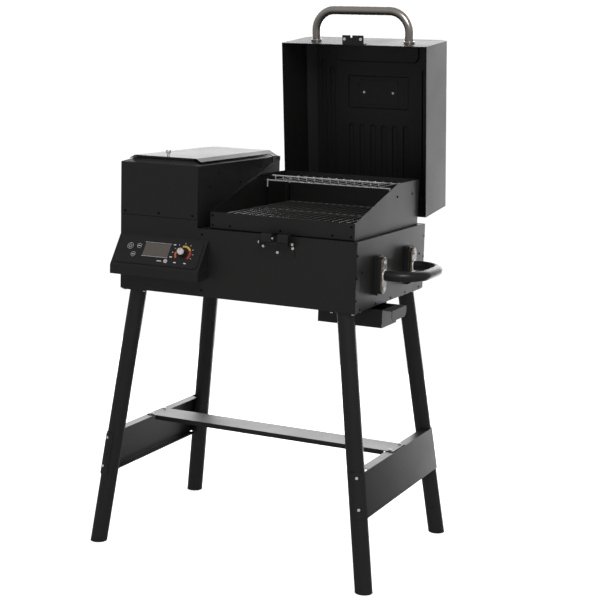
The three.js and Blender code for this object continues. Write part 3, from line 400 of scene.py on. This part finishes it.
MADE_HERE = {
    "lid_shell", "lid_handle", "side_handle_tube", "cooking_grate", "warming_rack",
    "hopper_lid_knob", "control_knob", "latch_lever",
}


def soften_nodes():
    for node in sorted(frame["nodes"]):
        if node not in MADE_HERE:
            soften(node, EDGES.get(node, 0.0))


# ---------------------------------------------------------------- body, hopper and chamber fasteners
def body_fasteners():
    length, depth, height = 630, 443, 165
    seam_x = (12.4, 107, 200.5)
    heads("hopper_seam_screws", "frame", "black_powder_coat", FRONT, [(x, 193, 0) for x in seam_x], 3)
    heads("hopper_seam_screws_rear", "frame", "black_powder_coat", REAR,
          [(-x, 193, depth) for x in seam_x], 3)
    seam = [(0.6, 183.8), (213.4, 183.8), (213.4, 184.9), (0.6, 184.9)]

    def seam_line(shape):
        plate(shape, seam, FRONT, 0, 0.12)

    make("hopper_seam_line", "frame", None, seam_line, OTHER_FINISHES["rivet"])
    heads("front_panel_rivets", "frame", "black_powder_coat", FRONT,
          [(227.3, z, 0) for z in (151, 15.4)], 2.8)
    bottom_row = [(y, 6) for y in spread(28.6, 414.8, 5)]
    columns = [(y, z) for y in (4.2, depth - 4.2) for z in spread(29, 134, 3)]
    studs = bottom_row + columns
    heads("right_panel_rivets", "frame", "black_tube", RIGHT_SIDE,
          [(y, z, length) for y, z in studs + [(409, 92), (34, 92)]], 2.9)
    heads("left_panel_rivets", "frame", "black_tube", LEFT_SIDE, [(-y, z, 0) for y, z in studs], 2.9)
    hopper_studs = [(105, 290), (220, 290), (334, 289.5), (221, 260), (61, 260)]
    heads("hopper_rivets_right", "frame", "black_tube", RIGHT_SIDE,
          [(y, z, 214) for y, z in hopper_studs], 2.6)
    heads("hopper_rivets_left", "frame", "black_tube", LEFT_SIDE,
          [(-y, z, 0) for y, z in hopper_studs], 2.6)
    rear_studs = [(x, z) for x in spread(60, 600, 6) for z in (8, height - 8)]
    heads("rear_panel_rivets", "frame", "black_tube", REAR, [(-x, z, depth) for x, z in rear_studs], 2.8)


def chamber_fasteners():
    low, high = size_of("chamber_shell")
    ends = [(x, z) for x in (low.x + 6, high.x - 8.4) for z in (198.2, 175)]
    row = [(x, 175.3) for x in spread(297.3, 563.8, 3)]
    heads("chamber_front_screws", "frame", "black_tube", FRONT,
          [(x, z, -low.y) for x, z in ends + row], 2.8)
    proud = 0.15

    # Painted shadow: a near-black strip on the front and right at the chamber's base stands in for the
    # shade in the gap under the chamber. It is not a real part.
    def painted_shadow_gap(shape):
        strip = [(low.x + 0.5, 165.4), (high.x - 0.5, 165.4), (high.x - 0.5, 168), (low.x + 0.5, 168)]
        plate(shape, strip, FRONT, -low.y, -low.y + proud)
        strip = [(low.y + 0.5, 165.4), (high.y - 0.5, 165.4), (high.y - 0.5, 167), (low.y + 0.5, 167)]
        plate(shape, strip, RIGHT_SIDE, high.x, high.x + proud)

    make("chamber_base_painted_shadow", "frame", None, painted_shadow_gap, OTHER_FINISHES["rivet"])
    side = [(269.4, 246.7), (369.2, 246.7)]
    heads("chamber_side_screws", "frame", "black_tube", RIGHT_SIDE, [(y, z, high.x) for y, z in side], 3)
    heads("chamber_side_screws_left", "frame", "black_tube", LEFT_SIDE,
          [(-y, z, -low.x) for y, z in side], 3)


def hinge_fasteners():
    low, high = size_of("body_hinge_leaf")
    places = spread(low.x + 20, high.x - 20, 5)
    heads("body_hinge_rivets", "frame", "zinc", REAR, [(-x, 140, 444.5) for x in places], 3)
    heads("lid_hinge_rivets", "lid", "zinc", LID_REAR, [(-x, 198, 433) for x in places], 3)


# ---------------------------------------------------------------- legs and braces
def leg_fasteners():
    for side in ("left", "right"):
        right = side == "right"
        out = 1 if right else -1

        def draw(shape):
            for end in ("front", "rear"):
                rear = end == "rear"
                for z in (-380, -453):
                    centre = leg_centre(right, rear, z)
                    turn = math.radians(64)
                    away = Vector((out * math.cos(turn), (1 if rear else -1) * math.sin(turn), 0))
                    spot = BODY @ Vector((*centre, z)) + away * 23.4 * MM
                    facing = axes(UP, away.cross(UP), away, spot) @ Matrix.Scale(MM, 4)
                    small = [(r * 3.6, h * 3.6) for r, h in SOCKET_HEAD]
                    revolve(shape, small, facing, segments=18, hexagon=(4, 5))
            top = size_of("crossbar")[1].z
            for y in (190, 253):
                x = size_of("crossbar")[1 if right else 0].x - out * 12
                large = [(r * 4.4, h * 4.4) for r, h in SOCKET_HEAD]
                revolve(shape, large, BODY, (x, y, top), 18, (4, 5))

        make(f"brace_screws_{side}", "frame", "zinc", draw)


def leg_centre(right, rear, z):
    """Centre of a leg at a height below the body, from the plates and feet of the legs."""
    ends = ("front", "rear")[rear], ("left", "right")[right]
    foot_low, foot_high = size_of("foot_cap_%s_%s" % ends)
    foot = (foot_low + foot_high) / 2
    inset = Vector((36, 30))
    top = Vector((630 - inset.x if right else inset.x, 443 - inset.y if rear else inset.y))
    share = z / foot_low.z
    return top.lerp(Vector((foot.x, foot.y)), share)


def leg_plate_screws():
    spots = []
    for right in (False, True):
        for rear in (False, True):
            x, y = leg_centre(right, rear, 0)
            spots += [(x + across, -(y + along), 2.8) for across in (-27, 27) for along in (-20, 20)]
    heads("leg_plate_screws", "frame", "zinc", UNDERSIDE, spots, 3.6, SOCKET_HEAD)


# ---------------------------------------------------------------- lid
LID_RIM, LID_CENTRE = 166.5, 434
LID_PRESSED_ABOVE = 325
RIB_SLOPE = 2.6
BADGE = {"width": 110, "depth": 65, "y": 145, "z": 338}


def slope_pressings(mesh):
    """Leans the short upright walls of the ribs and pockets, as pressed sheet has them."""
    shut = LID.inverted()
    turn = LID.to_3x3().normalized()
    shape = bmesh.new()
    shape.from_mesh(mesh)
    height = {vert: (shut @ vert.co).z for vert in shape.verts}
    moves = []
    for vert in shape.verts:
        drops = [height[vert] - height[edge.other_vert(vert)] for edge in vert.link_edges]
        if height[vert] < LID_PRESSED_ABOVE or not any(2 < drop < 10 for drop in drops):
            continue
        normals = [turn.inverted() @ face.normal for face in vert.link_faces]
        level = sum(normal.z for normal in normals if abs(normal.z) > 0.9)
        walls = sum((normal for normal in normals if abs(normal.z) < 0.2), Vector())
        if walls.length > 0.1 and level:
            moves.append((vert, walls.normalized() * (-1 if level > 0 else 1)))
    for vert, away in moves:
        vert.co += turn @ away * RIB_SLOPE * MM
    shape.to_mesh(mesh)
    shape.free()
    mesh.shade_flat()


def lid_pieces():
    shell = soften("lid_shell", 0.5, limit=42, whole=False)
    shell.modifiers["round_edges"].harden_normals = False
    slope_pressings(shell.data)
    foot = LID @ Vector((306, 1.7, 228.5))
    turn = LID.to_3x3().normalized()

    def bar(shape):
        sweep(shape, bent_bar(foot, turn @ -BACK, turn @ RIGHT, 79 * MM, 256 * MM, 52 * MM), 11 * MM, 40)

    make("lid_handle_bar", "lid", "brushed_stainless", bar, replaced=["lid_handle"])
    collar = [(13.6, -0.5), (14.2, 0.2), (14.2, 4.4), (13.4, 5.4), (11.4, 5.8), (10.6, 5.8)]

    def collars(shape):
        for x in (306, 562):
            revolve(shape, collar, LID_FRONT, (x, 228.5, -2), 40)

    make("lid_handle_collars", "lid", "brushed_stainless", collars)
    heads("lid_catch_screws", "lid", "zinc", LID_UNDER,
          [(x, 12, -LID_RIM) for x in (411.5, 456)], 4, SOCKET_HEAD)


def badge_plate():
    """A plain name plate inside the lid, held by two screws, and its blank twin outside."""
    centre = (LID_CENTRE, -BADGE["y"])

    def inner(shape):
        outline = rounded(BADGE["width"], BADGE["depth"], 3, centre)
        plate(shape, outline, LID_UNDER, -BADGE["z"] - 0.2, -BADGE["z"] + 1.4)

    make("badge_backing", "lid", "black_powder_coat", inner, edge=0.5)

    def outer(shape):
        outline = rounded(BADGE["width"], BADGE["depth"], 6, (LID_CENTRE, BADGE["y"]))
        plate(shape, outline, LID, 339, 340.6)

    make("badge_plate", "lid", "bare_steel", outer, edge=0.5)
    screws = [(LID_CENTRE + side, -BADGE["y"], -BADGE["z"] + 1.4) for side in (-41, 41)]
    heads("badge_screws", "lid", "zinc", LID_UNDER, screws, 3.4, SOCKET_HEAD)


# ---------------------------------------------------------------- latch
def latch_pieces():
    heads("latch_plate_screws", "frame", "zinc", FRONT,
          [(392.7, 138, 2.3), (430, 126, 2.3), (469.3, 138, 2.3)], 3.3, PIN_HEAD)
    heads("latch_pin_head_left", "frame", "zinc", LEFT_SIDE, [(16, 149, -388.5)], 3.4, PIN_HEAD)
    heads("latch_pin_head_right", "frame", "zinc", RIGHT_SIDE, [(-16, 149, 473.5)], 3.4, PIN_HEAD)
    heads("latch_lever_bolt", "latch", "zinc", RIGHT_SIDE, [(-19, 160, 423.2)], 3, PIN_HEAD)
    front, back, top, tip, bend, sheet = -25, -23, 170.8, -8, 5, 2
    corner = [(math.sin(math.radians(a)), math.cos(math.radians(a))) for a in spread(0, 90, 7)]
    outside = [(front + bend * (1 - up), top - bend * (1 - over)) for over, up in corner]
    inner, under = bend - sheet, top - sheet
    inside = [(back + inner * (1 - up), under - inner * (1 - over)) for over, up in corner]
    finger = [(front, 149.5), *outside, (tip, top), (tip, top - sheet), *inside[::-1], (back, 149.5)]
    strip = [(front, 147.5), (back, 147.5), (back, 151.5), (front, 151.5)]

    def lever(shape):
        for left, right in ((396, 423), (439, 466)):
            plate(shape, finger, RIGHT_SIDE, left, right)
        plate(shape, strip, RIGHT_SIDE, 396.2, 465.8)
        for left in (396.1, 463.9):
            plate(shape, rounded(13, 17, 4, (-17.6, 151.5)), RIGHT_SIDE, left, left + 2)

    make("latch_lever_bent", "latch", "black_tube", lever, replaced=["latch_lever"], edge=0.4)


# ---------------------------------------------------------------- side handle
HANDLE = {"z": 75.5, "front": 120, "rear": 316, "face": 651.7, "reach": 732.6, "bend": 65, "radius": 12.5}


def side_handle():
    start = BODY @ Vector((HANDLE["face"] + 0.1, HANDLE["front"], HANDLE["z"]))
    reach = (HANDLE["reach"] - HANDLE["face"]) * MM
    span = (HANDLE["rear"] - HANDLE["front"]) * MM

    def bar(shape):
        path = bent_bar(start, RIGHT, BACK, reach, span, HANDLE["bend"] * MM)
        sweep(shape, path, HANDLE["radius"] * MM, 40)

    make("side_handle_bar", "frame", "black_tube", bar, replaced=["side_handle_tube"])
    places = (HANDLE["front"], HANDLE["rear"])

    def gaskets(shape):
        for y in places:
            plate(shape, rounded(31.4, 87.4, 15.2, (y, HANDLE["z"])), RIGHT_SIDE, 649, 649.9)

    make("side_handle_gaskets", "frame", None, gaskets, OTHER_FINISHES["gasket"], edge=0.2)
    screws = [(y, HANDLE["z"] + rise, HANDLE["face"] - 0.4) for y in places for rise in (-31, 31)]
    heads("side_handle_screws", "frame", "zinc", RIGHT_SIDE, screws, 5, SOCKET_HEAD, 24)
    weld = [(14.4, -0.3), (14.2, 0.8), (13.2, 1.8), (12.3, 2.4)]

    def welds(shape):
        for y in places:
            revolve(shape, weld, RIGHT_SIDE, (y, HANDLE["z"], HANDLE["face"]), 36)

    make("side_handle_welds", "frame", "zinc", welds)


# ---------------------------------------------------------------- grate and rack
def cooking_grate():
    low, high = size_of("cooking_grate")
    rods, pitch, radius = 18, 19.3, 2.75
    centre = (low.x + high.x) / 2
    z = low.z + radius

    def draw(shape):
        for i in range(rods):
            x = centre + (i - (rods - 1) / 2) * pitch
            sweep(shape, [BODY @ Vector((x, low.y, z)), BODY @ Vector((x, high.y, z))], radius * MM, 16)
        for y in (low.y + radius, (low.y + high.y) / 2, high.y - radius):
            ends = [BODY @ Vector((x, y, z - 0.4)) for x in (low.x + 0.3, high.x - 0.3)]
            sweep(shape, ends, 2.4 * MM, 16)

    make("cooking_grate_rods", "grate", None, draw, OTHER_FINISHES["enamel"], replaced=["cooking_grate"])


def warming_rack():
    low, high = size_of("warming_rack")
    wire, count = 1.6, 14
    flat = 264.8 + 2.4
    front_rail, rear_rail = low.y + wire + 10, high.y - wire
    lip_y, lip_z = low.y + wire, high.z - wire

    def line(*points):
        return [BODY @ Vector(point) for point in points]

    def draw(shape):
        for y in (front_rail, rear_rail):
            sweep(shape, line((low.x, y, 264.8), (high.x, y, 264.8)), wire * MM, 14)
            for x in (low.x + wire, high.x - wire):
                sweep(shape, line((x, y, 247), (x, y, 265)), wire * MM, 14)
        sweep(shape, line((low.x + 20, lip_y, lip_z), (high.x - 20, lip_y, lip_z)), wire * MM, 14)
        for x in spread(low.x + 28, high.x - 28, count):
            turn = [(x, lip_y + 8 * (1 - math.sin(a)), flat + 8 * (1 - math.cos(a)))
                    for a in [math.radians(t) for t in spread(0, 90, 7)]]
            sweep(shape, line((x, rear_rail + 1, flat), *turn, (x, lip_y, lip_z)), 1.3 * MM, 10)

    def legs(shape):
        for y in (front_rail, rear_rail):
            for x in (low.x + wire, high.x - wire):
                sweep(shape, line((x, y, low.z), (x, y, 248)), wire * 1.1 * MM, 14)

    make("warming_rack_legs", "rack", None, legs, OTHER_FINISHES["rivet"])
    make("warming_rack_wires", "rack", "chrome_wire", draw, replaced=["warming_rack"])


# ---------------------------------------------------------------- knobs and controls
def knobs():
    low, high = size_of("hopper_lid_knob")
    lift = [(4, 0), (3.6, 2), (3.3, 6), (4.6, 8), (6.4, 9.2), (6.8, 11), (6.8, 14.4), (6, 16.2),
            (4.4, 17), (0, 17)]

    def lid_knob(shape):
        revolve(shape, lift, BODY, ((low.x + high.x) / 2, (low.y + high.y) / 2, low.z), 36)

    make("hopper_lid_pull", "hopper_cover", "chrome_wire", lid_knob, replaced=["hopper_lid_knob"])
    skirt = [(4, -10), (4, 0), (9, 0), (9.5, 0.6), (9.5, 7), (8.9, 8), (8.4, 9.4), (8.2, 10.2), (0, 10.2)]
    cap = [(7.6, 9), (7.9, 10), (7.8, 16.4), (7.2, 17.6), (6.4, 18), (0, 18)]
    spot = (DIAL[0], DIAL[1], 2.6)

    def body(shape):
        revolve(shape, skirt, FASCIA, spot, 48)
        for i in range(18):
            angle = 2 * math.pi * i / 18
            place = (spot[0] + 9.2 * math.cos(angle), spot[1] + 9.2 * math.sin(angle), spot[2] + 0.8)
            revolve(shape, [(0.7, 0), (0.7, 6), (0.3, 6.6)], FASCIA, place, 8)

    make("dial_skirt", "dial", "black_plastic", body, replaced=["control_knob"])

    def top(shape):
        revolve(shape, cap, FASCIA, spot, 48)

    make("dial_cap", "dial", None, top, OTHER_FINISHES["cap"])

    def pointer(shape):
        plate(shape, rounded(1.4, 7, 0.6, (DIAL[0], DIAL[1] + 3.6)), FASCIA, 20, 20.8)

    make("dial_pointer", "dial", None, pointer, OTHER_FINISHES["red"])


DIAL = (190, -42.5)
PRINT_LOW, PRINT_HIGH = 2.28, 2.42


def print_on_fascia(name, outlines, colour, low=PRINT_LOW, high=PRINT_HIGH, body="frame"):
    def draw(shape):
        for outline in outlines:
            plate(shape, outline, FASCIA, low, high)

    make(name, body, None, draw, OTHER_FINISHES[colour])


def tick(angle, near=25.5, far=29.5, half=0.55):
    """The outline of a short line pointing away from the dial."""
    turn = math.radians(angle)
    out = Vector((math.cos(turn), math.sin(turn)))
    side = Vector((-out.y, out.x)) * half
    centre = Vector(DIAL)
    return [tuple(centre + out * r + side * s) for r, s in ((near, -1), (far, -1), (far, 1), (near, 1))]


def fascia_marks():
    print_on_fascia("dial_arc_yellow", [arc_band(DIAL, 17, 21.8, 30, 106)], "yellow")
    print_on_fascia("dial_arc_red", [arc_band(DIAL, 17, 21.8, -38, 27)], "red")
    print_on_fascia("dial_arc_orange", [arc_band(DIAL, 17, 21.8, 171, 218)], "orange")
    ticks = [tick(angle) for angle in (177, 153, 125, 90, 57, 27, 0, -24)]
    places = ((162, -21), (160.7, -54), (176, -67.6), (203.5, -67.7))
    labels = [rounded(7, 3, 1.4, place) for place in places]
    bar = rounded(13, 2.4, 1.1, (133, -67.4))
    print_on_fascia("dial_marks", ticks + labels + [bar], "white")
    border = 2.2
    low, high = Vector((81, -56.8)), Vector((152, -20.8))
    sides = [
        rounded(high.x - low.x + border, 0.7, 0.3, ((low.x + high.x) / 2, low.y - 0.6)),
        rounded(high.x - low.x + border, 0.7, 0.3, ((low.x + high.x) / 2, high.y + 0.6)),
    ]
    print_on_fascia("display_border", sides, "white")


def button_marks():
    power, menu, light = (42.5, -34.5), (67, -32), (57, -56)
    top = 3.18
    outline = [arc_band(power, 3.4, 4.3, 125, 415), rounded(0.9, 4.6, 0.4, (power[0], power[1] + 3))]
    print_on_fascia("power_mark", outline, "white", top, top + 0.12, "button_power")
    rings = {"power": (power, 8.2), "menu": (menu, 6.3), "light": (light, 6.3)}
    for name, (centre, radius) in rings.items():
        band = arc_band(centre, radius - 0.7, radius, 0, 350, 40)
        print_on_fascia(f"{name}_ring", [band], "white", top, top + 0.1, f"button_{name}")
    for name, centre in (("menu", menu), ("light", light)):
        bar = [rounded(7.4, 1.8, 0.8, centre)]
        print_on_fascia(f"{name}_mark", bar, "white", top, top + 0.12, f"button_{name}")


# ---------------------------------------------------------------- studio
def area_light(name, place, target, width, height, power, colour=(1, 1, 1)):
    lamp = bpy.data.lights.new(name, "AREA")
    lamp.shape = "RECTANGLE"
    lamp.size = width
    lamp.size_y = height
    lamp.energy = power
    lamp.color = colour
    light = bpy.data.objects.new(name, lamp)
    light.location = place
    light.rotation_mode = "QUATERNION"
    light.rotation_quaternion = (Vector(target) - Vector(place)).to_track_quat("-Z", "Y")
    light.visible_camera = False
    bpy.context.scene.collection.objects.link(light)


def studio():
    area_light("backdrop", (-0.6, 1.9, 0.9), (-0.6, 0, 0.9), 3.0, 2.6, 78)
    area_light("key", (1.6, -2.2, 2.6), (0, 0, 0.8), 1.2, 1.2, 30)
    world = bpy.data.worlds.new("studio")
    bpy.context.scene.world = world
    world.use_nodes = True
    nodes = world.node_tree.nodes
    link = world.node_tree.links.new
    room = nodes["Background"]
    room.inputs["Color"].default_value = (1, 1, 1, 1)
    where = nodes.new("ShaderNodeTexCoord")
    split = nodes.new("ShaderNodeSeparateXYZ")
    fade = nodes.new("ShaderNodeMapRange")
    fade.inputs["From Min"].default_value = -0.5
    fade.inputs["From Max"].default_value = 0.25
    fade.inputs["To Min"].default_value = 0.1
    fade.inputs["To Max"].default_value = 0.29
    link(where.outputs["Generated"], split.inputs["Vector"])
    link(split.outputs["Z"], fade.inputs["Value"])
    link(fade.outputs["Result"], room.inputs["Strength"])
    paper = nodes.new("ShaderNodeBackground")
    paper.inputs["Color"].default_value = (1, 1, 1, 1)
    paper.inputs["Strength"].default_value = 1.05
    path = nodes.new("ShaderNodeLightPath")
    mix = nodes.new("ShaderNodeMixShader")
    link(path.outputs["Is Camera Ray"], mix.inputs["Fac"])
    link(room.outputs["Background"], mix.inputs[1])
    link(paper.outputs["Background"], mix.inputs[2])
    link(mix.outputs["Shader"], nodes["World Output"].inputs["Surface"])
    bpy.context.scene.view_settings.view_transform = "Standard"


def floor():
    shape = bmesh.new()
    bmesh.ops.create_grid(shape, x_segments=1, y_segments=1, size=40)
    mesh = bpy.data.meshes.new("floor")
    shape.to_mesh(mesh)
    shape.free()
    ground = bpy.data.objects.new("floor", mesh)
    bpy.context.scene.collection.objects.link(ground)
    mesh.materials.append(finish("floor_paper", (0.86, 0.86, 0.86), 0.9, specular=0.1, relief=0.0,
                                 contrast=0.02, glow=0.95))
    ground.visible_glossy = False


def camera():
    turn, tilt, roll = (math.radians(angle) for angle in (24.9, 10.06, 1.7))
    back = Vector((math.sin(turn) * math.cos(tilt), -math.cos(turn) * math.cos(tilt), math.sin(tilt)))
    side = (-back).cross(UP).normalized()
    above = side.cross(-back)
    across = side * math.cos(roll) + above * math.sin(roll)
    upright = above * math.cos(roll) - side * math.sin(roll)
    eye = bpy.data.objects.new("camera", bpy.data.cameras.new("camera"))
    eye.data.lens = 86.72
    eye.data.sensor_width = 36
    eye.matrix_world = axes(across, upright, back, BODY @ Vector((1886.42, -3007.18, 606.88)))
    bpy.context.scene.collection.objects.link(eye)
    bpy.context.scene.camera = eye


soften_nodes()
body_fasteners()
chamber_fasteners()
hinge_fasteners()
leg_fasteners()
leg_plate_screws()
lid_pieces()
badge_plate()
latch_pieces()
side_handle()
cooking_grate()
warming_rack()
knobs()
fascia_marks()
button_marks()
studio()
floor()
camera()
